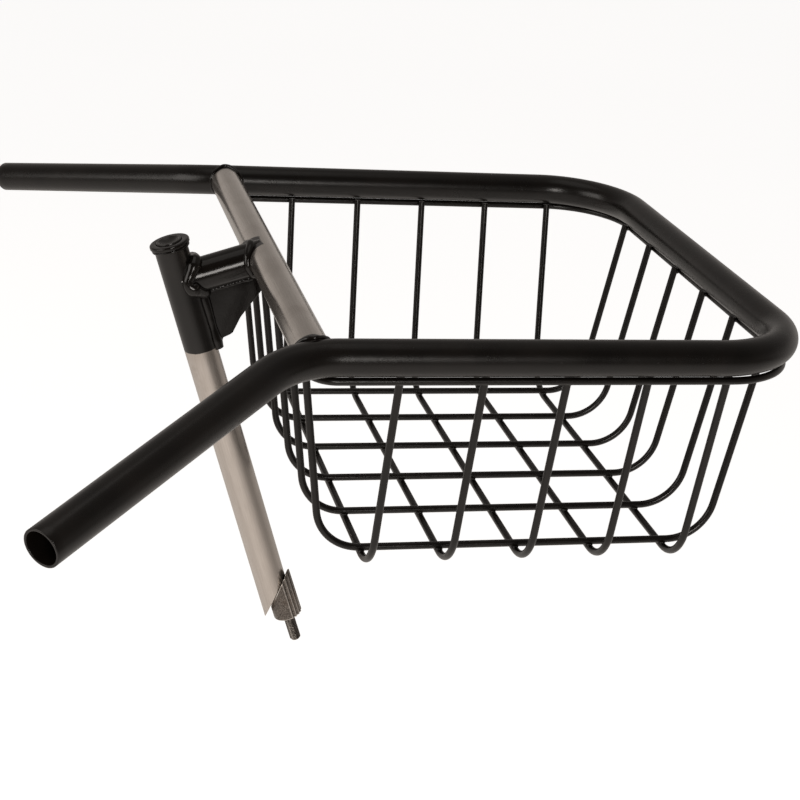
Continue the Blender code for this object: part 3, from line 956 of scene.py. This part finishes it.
# Expander: a long socket-head bolt hangs on a domed washer on a seat welded in the quill, and
# draws a slant-topped steel wedge up against the quill's foot. All of it is plain dark steel.
SEAT_HEIGHT = 0.0540
SEAT_THICKNESS = 0.0080
BOLT_RADIUS = 0.0040
BOLT_HEAD_RADIUS = 0.0065
BOLT_HEAD_HEIGHT = 0.0080
SOCKET_WIDTH = 0.0060
SOCKET_DEPTH = 0.0042
WASHER_THICKNESS = 0.0016
THREAD_PITCH = 0.00125
THREAD_LENGTH = 0.052
THREAD_DEPTH = 0.00055
WEDGE_RADIUS = 0.0105
WEDGE_OFFSET = 0.0056
WEDGE_FOOT_DROP = 0.2195
RUN_GAP = 0.0003
WEDGE_SIDES = 288
RIB_ARC = radians(54.0)
RIB_PITCH = radians(18.0)
RIB_DEPTH = 0.0008
RIB_SHOULDER = radians(6.0)
SMOOTH_DROP = 0.0004
EDGE_CHAMFER = 0.0007
CREST_WEAR = 0.00018
BOLT_SIDES = 48
STEPS_IN_TURN = 6
RUST = (0.11, 0.075, 0.055)
RUBBED = (0.85, 0.80, 0.75)

pivot = Vector(joints["bolt_turn"]["pos_m"])
bolt_up = Vector(joints["bolt_turn"]["axis"])
BOLT = Matrix.Translation(pivot) @ bolt_up.to_track_quat("Z", "Y").to_matrix().to_4x4()


def dark_steel_finish(name, dark, pale, roughness, grain_size, rubbed=False):
    finish = Finish(name)
    grain = finish.noise(grain_size, 6.0, roughness=0.7)
    patch = finish.noise(70.0, 4.0, roughness=0.6)
    colour = finish.mixed(finish.ramp(grain, 0.35, 0.65), dark, pale)
    colour = finish.mixed(finish.ramp(patch, 0.5, 0.75, 0.0, 0.6), colour, RUST)
    if rubbed:
        wear = finish.add("ShaderNodeAttribute", attribute_name="wear").outputs["Fac"]
        colour = finish.mixed(finish.math("MULTIPLY", wear, grain), colour, RUBBED)
    finish.set(
        colour=colour,
        metallic=1.0,
        roughness=finish.ramp(grain, 0.3, 0.7, roughness - 0.08, roughness + 0.10),
        normal=finish.bump(grain, 0.35, 0.00022),
    )
    return finish.material


DARK_STEEL = dark_steel_finish(
    "burnished_steel", (0.10, 0.09, 0.082), (0.24, 0.22, 0.20), 0.38, 1300.0
)
WEDGE_STEEL = dark_steel_finish(
    "wedge_steel", (0.030, 0.024, 0.020), (0.27, 0.24, 0.215), 0.34, 1000.0, True
)
ZINC = dark_steel_finish("dull_zinc", (0.38, 0.37, 0.35), (0.55, 0.54, 0.52), 0.34, 1000.0)


def add_seat_and_washer():
    bore = BOLT_RADIUS + 0.0007
    outer = QUILL_RADIUS - QUILL_WALL - 0.0001
    foot = SEAT_HEIGHT - SEAT_THICKNESS
    profile = [(bore + 0.0004, SEAT_HEIGHT), (outer, SEAT_HEIGHT), (outer, foot), (bore, foot)]
    profile += [(bore, SEAT_HEIGHT - 0.0004)]
    mesh = turned_mesh("seat", profile, STEM, closed=True)
    new_piece("seat", mesh, DARK_STEEL, ["bolt_seat"])
    inner = BOLT_RADIUS + RUN_GAP
    wide = 0.0073
    top = RUN_GAP + WASHER_THICKNESS
    profile = [(inner, top), (wide - 0.0008, top)]
    profile += rounded((wide - 0.0006, RUN_GAP + 0.0007), 0.0006, 60, 0, 4)
    profile += [(wide, RUN_GAP + 0.0002), (wide - 0.0002, RUN_GAP), (inner, RUN_GAP)]
    mesh = turned_mesh("washer", profile, BOLT, closed=True)
    new_piece("washer", mesh, ZINC, ["bolt_washer"], "washer")


def bolt_profile(under, top, tip):
    """Outline of the bolt from its head down to the thread's start."""
    outline = [(BOLT_HEAD_RADIUS - 0.0006, top)]
    outline += rounded((BOLT_HEAD_RADIUS - 0.0006, top - 0.0006), 0.0006, 90, 0)
    outline += [(BOLT_HEAD_RADIUS, under), (BOLT_RADIUS, under)]
    return outline + [(BOLT_RADIUS, tip + THREAD_LENGTH + 0.001)]


def add_bolt():
    under = WASHER_THICKNESS + 2 * RUN_GAP
    top = under + BOLT_HEAD_HEIGHT
    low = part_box("expander_bolt")[0]
    tip = (low.z - pivot.z + BOLT_RADIUS * bolt_up.y) / bolt_up.z
    shell = bmesh.new()
    rings = []
    hexagon = SOCKET_WIDTH / 2
    outline = [("hex", hexagon, top - SOCKET_DEPTH), ("hex", hexagon, top - 0.0002)]
    outline += [("hex", hexagon + 0.0002, top)]
    outline += [("round", r, z) for r, z in bolt_profile(under, top, tip)]
    turns = int(THREAD_LENGTH / THREAD_PITCH)
    for step in range(turns * STEPS_IN_TURN):
        height = tip + THREAD_LENGTH - step * THREAD_PITCH / STEPS_IN_TURN
        outline.append(("thread", BOLT_RADIUS, height))
    outline += [("round", BOLT_RADIUS - 0.0009, tip), ("round", BOLT_RADIUS - 0.0012, tip)]
    for kind, radius, height in outline:
        ring = []
        for side in range(BOLT_SIDES):
            turn = 2 * pi * side / BOLT_SIDES
            reach = radius
            if kind == "hex":
                reach = radius / cos((turn % (pi / 3)) - pi / 6)
            if kind == "thread":
                phase = (height / THREAD_PITCH + turn / (2 * pi)) % 1.0
                fade = min(1.0, (height - tip) / 0.001, (tip + THREAD_LENGTH - height) / 0.002)
                reach = radius - THREAD_DEPTH * abs(2 * phase - 1) * max(0.0, fade)
                reach -= max(0.0, 0.001 - (height - tip)) * 0.8
            ring.append(shell.verts.new((reach * cos(turn), reach * sin(turn), height)))
        rings.append(ring)
    for above, below in zip(rings, rings[1:]):
        for side in range(BOLT_SIDES):
            beside = (side + 1) % BOLT_SIDES
            shell.faces.new((above[side], below[side], below[beside], above[beside]))
    shell.faces.new(rings[0])
    shell.faces.new(rings[-1])
    bmesh.ops.recalc_face_normals(shell, faces=shell.faces)
    shell.transform(BOLT)
    mesh = mesh_of(shell, "bolt", 38.0)
    new_piece("bolt", mesh, DARK_STEEL, ["expander_bolt"], "bolt")


def worn_edge_finish():
    finish = Finish("worn_edge_steel")
    rub = finish.noise(600.0, 4.0)
    finish.set(
        colour=finish.mixed(finish.ramp(rub, 0.3, 0.6), (0.42, 0.38, 0.34), (0.82, 0.78, 0.73)),
        metallic=1.0,
        roughness=finish.ramp(rub, 0.3, 0.7, 0.25, 0.40),
    )
    return finish.material


def cut_ribs(mesh, place):
    """Grip ribs in the wedge's thick side; the rest is left lower. Wear is noted on the crests."""
    wear = mesh.attributes.new("wear", "FLOAT", "POINT")
    out = place.inverted()
    for vertex, worn in zip(mesh.vertices, wear.data):
        local = out @ vertex.co
        radius = sqrt(local.x**2 + local.y**2)
        if radius < WEDGE_RADIUS - 0.0005:
            continue
        turn = abs(atan2(local.x, -local.y))
        groove = RIB_DEPTH * (0.5 - 0.5 * cos(2 * pi * turn / RIB_PITCH))
        if turn > RIB_ARC:
            groove = SMOOTH_DROP * min(1.0, (turn - RIB_ARC) / RIB_SHOULDER)
        worn.value = max(0.0, 1.0 - groove / CREST_WEAR)
        share = (radius - groove) / radius
        vertex.co = place @ Vector((local.x * share, local.y * share, local.z))


def add_wedge():
    bore = BOLT_RADIUS + 0.00045
    lean = atan2(WEDGE_OFFSET, SEAT_HEIGHT + WEDGE_FOOT_DROP)
    place = STEM @ Matrix.Rotation(CUT_TURN, 4, "Z")
    place = place @ Matrix.Translation((0.0, -WEDGE_OFFSET, -WEDGE_FOOT_DROP))
    place = place @ Matrix.Rotation(-lean, 4, "X")
    slope = 1 / tan(CUT_ANGLE)
    height = WEDGE_FOOT_DROP - QUILL_CUT_DROP - RUN_GAP / sin(CUT_ANGLE)

    def slant(x, y):
        rise = height + y * sin(lean) - (y * cos(lean) - WEDGE_OFFSET) * slope
        return rise / (cos(lean) + sin(lean) * slope)

    mesh = sleeve_mesh("wedge", WEDGE_RADIUS, bore, lambda x, y: 0.0, slant, place, WEDGE_SIDES, 1)
    cut_ribs(mesh, place)
    mesh.materials.append(WEDGE_STEEL)
    mesh.materials.append(worn_edge_finish())
    item = new_object("wedge_blank", mesh)
    ease_edges(item, EDGE_CHAMFER, 33.0).material = 1
    mesh = baked(item, "wedge", 38.0)
    new_piece("wedge", mesh, WEDGE_STEEL, ["expander_wedge"], "wedge")


add_seat_and_washer()
add_bolt()
add_wedge()

# Basket: bright-drawn wire bent into U shapes and enamelled. The long wires lie inside the
# cross wires, and all of them lean against the inside of one rim wire under the frame tube.
WIRE_RADIUS = 0.0024
WIRE_SIDES = 28
RIM_DROP = 0.0143
RIM_OUTSET = 0.0008
RIM_FRONT_CORNER = 0.053
RIM_REAR_CORNER = 0.015
BASKET_DEPTH = 0.1511
WIRE_STEP = 2 * WIRE_RADIUS + 0.0003
TIP_DROP = 0.0120
LONG_LEAN = radians(8.3)
CROSS_LEAN = radians(10.4)
LONG_BEND = 0.030
CROSS_BEND = 0.032


def wire_middles(kind, count, axis):
    """Where the wires of one kind lie along an axis."""
    boxes = [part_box(f"{kind}_wire_{number}") for number in range(1, count + 1)]
    return [(low[axis] + high[axis]) / 2 for low, high in boxes]


long_xs = wire_middles("long", 6, 0)
cross_ys = wire_middles("cross", 5, 1)


def add_wire(name, points, replaced, closed=False):
    mesh = grown(
        path_curve(name + "_path", points, closed),
        ROUND_BAR,
        {
            "Diameter": 2 * WIRE_RADIUS,
            "Sides": WIRE_SIDES,
            "Capped": not closed,
            "Finish": BLACK_ENAMEL,
        },
        name,
    )
    new_piece(name, mesh, BLACK_ENAMEL, replaced)


def rim_corner(x, y, radius, across, along):
    centre = Vector((x - across * radius, y - along * radius, frame_z - RIM_DROP))
    start = Vector((across * radius, 0.0, 0.0))
    return arc(centre, start, Vector((0.0, along, 0.0)), radians(90.0), 20)


def add_rim():
    half = RAIL_HALF_SPAN + RIM_OUTSET
    front = front_y - RIM_OUTSET
    rear = cross_y + RIM_OUTSET
    points = rim_corner(half, rear, RIM_REAR_CORNER, 1, 1)[::-1]
    points += rim_corner(half, front, RIM_FRONT_CORNER, 1, -1)
    points += rim_corner(-half, front, RIM_FRONT_CORNER, -1, -1)[::-1]
    points += rim_corner(-half, rear, RIM_REAR_CORNER, -1, 1)
    add_wire("rim", points, ["rim_wire"], closed=True)


def u_shape(half_frame, lean, depth, radius):
    """One U in its own plane: (across, height) from tip to tip."""
    top = half_frame + RIM_OUTSET - WIRE_STEP / cos(lean)
    tip = top + (RIM_DROP - TIP_DROP) * tan(lean)
    foot = top - (depth - RIM_DROP) * tan(lean)
    sweep = radians(90.0) - lean
    flat = foot - radius * tan(sweep / 2)
    steps = 18
    half = []
    for i in range(steps + 1):
        turn = sweep * (1 - i / steps)
        half.append((flat + radius * sin(turn), radius * (1 - cos(turn)) - depth))
    start_x, start_z = half[0]
    upright = [
        (tip + (start_x - tip) * i / 12, -TIP_DROP + (start_z + TIP_DROP) * i / 12)
        for i in range(12)
    ]
    run = upright + half
    return run + [(-across, height) for across, height in reversed(run)]


def add_basket_wires():
    long_shape = u_shape(FRAME_DEPTH / 2, LONG_LEAN, BASKET_DEPTH, LONG_BEND)
    cross_shape = u_shape(RAIL_HALF_SPAN, CROSS_LEAN, BASKET_DEPTH + WIRE_STEP, CROSS_BEND)
    for number, x in enumerate(long_xs, 1):
        points = [Vector((x, basket_y + y, frame_z + z)) for y, z in long_shape]
        add_wire(f"long_u_{number}", points, [f"long_wire_{number}"])
    for number, y in enumerate(cross_ys, 1):
        points = [Vector((x, y, frame_z + z)) for x, z in cross_shape]
        add_wire(f"cross_u_{number}", points, [f"cross_wire_{number}"])


add_rim()
add_basket_wires()

# Spot welds: a small lump of metal is left wherever two floor wires cross, and wherever a wire
# leans on the rim. Each one is turned and sized a little differently, and enamelled over.
SPOT_WIDTH = 0.0036
SPOT_LUMP = 0.0014


def spot_tree():
    """Small lumpy blobs of weld metal on the vertices of the incoming mesh."""
    chain = NodeChain(
        "spot_welds",
        {"Spot Width": "Float", "Seed": "Int", "Finish": "Material"},
    )
    blob = chain.add(
        "GeometryNodeMeshIcoSphere",
        {"Radius": chain.math("MULTIPLY", chain.inputs["Spot Width"], 0.5), "Subdivisions": 3},
    )
    rough = chain.add("ShaderNodeTexNoise", {"Scale": 520.0, "Detail": 1.0})
    normal = chain.add("GeometryNodeInputNormal")
    lump = chain.math("MULTIPLY", chain.math("SUBTRACT", rough.outputs[0], 0.5), SPOT_LUMP)
    push = chain.add(
        "ShaderNodeVectorMath", {0: normal.outputs[0], "Scale": lump}, operation="SCALE"
    )
    lumpy = chain.add(
        "GeometryNodeSetPosition", {"Geometry": blob.outputs[0], "Offset": push.outputs[0]}
    )
    turn = chain.add(
        "FunctionNodeRandomValue",
        {"Min": (-0.3, -0.3, -3.1), "Max": (0.3, 0.3, 3.1), "Seed": chain.inputs["Seed"]},
        data_type="FLOAT_VECTOR",
    )
    size = chain.add(
        "FunctionNodeRandomValue",
        {2: 0.75, 3: 1.2, "Seed": chain.inputs["Seed"]},
        data_type="FLOAT",
    )
    spots = chain.add(
        "GeometryNodeInstanceOnPoints",
        {
            "Points": chain.inputs["Geometry"],
            "Instance": lumpy.outputs[0],
            "Rotation": turn.outputs[0],
            "Scale": size.outputs[1],
        },
    )
    return chain.finish(spots.outputs[0])


SPOT_WELDS = spot_tree()


def add_spots(name, places, seed):
    mesh = bpy.data.meshes.new(name + "_places")
    mesh.from_pydata(places, [], [])
    source = new_object(name + "_places", mesh)
    values = {"Spot Width": SPOT_WIDTH, "Seed": seed, "Finish": BLACK_ENAMEL}
    new_piece(name, grown(source, SPOT_WELDS, values, name, 80.0), BLACK_ENAMEL)


def add_spot_welds():
    floor_z = frame_z - BASKET_DEPTH - WIRE_STEP / 2
    crossings = [Vector((x, y, floor_z)) for x in long_xs for y in cross_ys]
    add_spots("floor_welds", crossings, 5)
    half_x = RAIL_HALF_SPAN + RIM_OUTSET - WIRE_STEP / 2
    half_y = FRAME_DEPTH / 2 + RIM_OUTSET - WIRE_STEP / 2
    level = frame_z - RIM_DROP
    rim_spots = [Vector((s * half_x, y, level)) for s in (-1, 1) for y in cross_ys]
    rim_spots += [Vector((x, basket_y + s * half_y, level)) for s in (-1, 1) for x in long_xs]
    add_spots("rim_welds", rim_spots, 9)


add_spot_welds()

# Studio: a wide floor far below, which gives off painted light to the reflections, with a warm
# painted pool of light on the near side; three soft panels, and a dim warm room that is paler near
# the horizon. The camera sees all of it as white.
FLOOR_DROP = 0.75
FLOOR_SIZE = 24.0
FLOOR_GLOW = 0.80
# Colours of the floor's painted glow, which reflections see in place of a lit floor.
PAINTED_FLOOR_DIM = (0.12, 0.108, 0.098)
PAINTED_FLOOR_FAR = (0.46, 0.43, 0.40)
PAINTED_FLOOR_POOL = (0.95, 0.88, 0.82)
POOL_CENTRE = (-1.4, 0.3)
POOL_REACH = 4.2
FAR_SIDE = (0.93, -0.20, 0.10)
LOW_GLOW = 1.7
ROOM_DARK = (0.045, 0.040, 0.036)
ROOM_PALE = (0.33, 0.305, 0.285)
WARM_WHITE = (1.0, 0.95, 0.90)
LIGHT_AIM = (0.0, -0.12, 0.0)


def camera_only(tree, seen, bounced):
    """Shows one shader to the camera, and another to the light that bounces."""
    path = tree.nodes.new("ShaderNodeLightPath")
    mix = tree.nodes.new("ShaderNodeMixShader")
    tree.links.new(path.outputs["Is Camera Ray"], mix.inputs[0])
    tree.links.new(bounced, mix.inputs[1])
    tree.links.new(seen, mix.inputs[2])
    return mix.outputs[0]


def add_floor():
    half = FLOOR_SIZE / 2
    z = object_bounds()[0].z - FLOOR_DROP
    corners = [(-half, -half, z), (half, -half, z), (half, half, z), (-half, half, z)]
    mesh = bpy.data.meshes.new("studio_floor")
    mesh.from_pydata(corners, [], [(0, 1, 2, 3)])
    floor = new_object("studio_floor", mesh)
    finish = Finish("pale_floor")
    tone = finish.ramp(finish.noise(0.6, 2.0), 0.3, 0.7)
    finish.set(
        colour=finish.mixed(tone, (0.90, 0.90, 0.90), (0.93, 0.93, 0.93)),
        roughness=0.9,
        specular=0.0,
    )
    finish.shader.inputs["Emission Color"].default_value = (1.0, 1.0, 1.0, 1.0)
    finish.shader.inputs["Emission Strength"].default_value = FLOOR_GLOW
    # The floor's glow to reflections is painted light: dim on the camera's side, paler beyond the
    # object, and a warm painted pool of light near the camera.
    spot = finish.add(
        "ShaderNodeVectorMath", {0: finish.place, 1: (*POOL_CENTRE, z)}, operation="DISTANCE"
    )
    pool = finish.ramp(spot.outputs["Value"], POOL_REACH, 0.0)
    parts = finish.add("ShaderNodeSeparateXYZ", {0: finish.place})
    beyond = finish.ramp(parts.outputs[0], -2.4, 0.8)
    painted_glow = finish.mixed(beyond, PAINTED_FLOOR_DIM, PAINTED_FLOOR_FAR)
    painted_glow = finish.mixed(pool, painted_glow, PAINTED_FLOOR_POOL)
    dim = finish.add("ShaderNodeEmission", {"Color": painted_glow})
    surface = camera_only(finish.tree, finish.shader.outputs[0], dim.outputs[0])
    finish.tree.links.new(surface, finish.tree.nodes["Material Output"].inputs["Surface"])
    mesh.materials.append(finish.material)


def add_room():
    """Dim warm room, paler on the far side of the object; the backdrop itself is white."""
    world = bpy.data.worlds.new("studio")
    bpy.context.scene.world = world
    world.use_nodes = True
    tree = world.node_tree
    maker = NodeMaker(tree)
    room = tree.nodes["Background"]
    way = maker.add("ShaderNodeTexCoord").outputs["Generated"]
    facing = maker.add("ShaderNodeVectorMath", {0: way, 1: FAR_SIDE}, operation="DOT_PRODUCT")
    blend = maker.ramp(facing.outputs["Value"], -0.75, 0.75)
    tree.links.new(maker.mixed(blend, ROOM_DARK, ROOM_PALE), room.inputs["Color"])
    height = maker.add("ShaderNodeSeparateXYZ", {0: way}).outputs[2]
    tree.links.new(maker.ramp(height, 0.40, 0.0, 0.85, LOW_GLOW), room.inputs["Strength"])
    backdrop = maker.add("ShaderNodeBackground", {"Color": (1.0, 1.0, 1.0, 1.0)})
    surface = camera_only(tree, backdrop.outputs[0], room.outputs[0])
    tree.links.new(surface, tree.nodes["World Output"].inputs["Surface"])


def add_panel(name, way, distance, width, height, radiance):
    """Soft panel that faces the object from a given way, and is not seen itself."""
    data = bpy.data.lights.new(name, "AREA")
    data.shape = "RECTANGLE"
    data.size = width
    data.size_y = height
    data.energy = radiance * pi * width * height
    data.color = WARM_WHITE
    item = new_object(name, data)
    item.location = Vector(LIGHT_AIM) + Vector(way).normalized() * distance
    item.rotation_euler = Vector(way).to_track_quat("Z", "Y").to_euler()
    item.visible_camera = False


add_floor()
add_room()
add_panel("front_softbox", (-0.975, 0.015, 0.22), 2.0, 0.56, 0.56, 12.0)
add_panel("rear_window", (-0.25, 0.95, 0.30), 2.2, 1.5, 1.3, 2.6)
add_panel("overhead_panel", (0.0, 0.1, 1.0), 2.4, 1.6, 1.6, 0.5)
bpy.context.scene.view_settings.view_transform = "Standard"
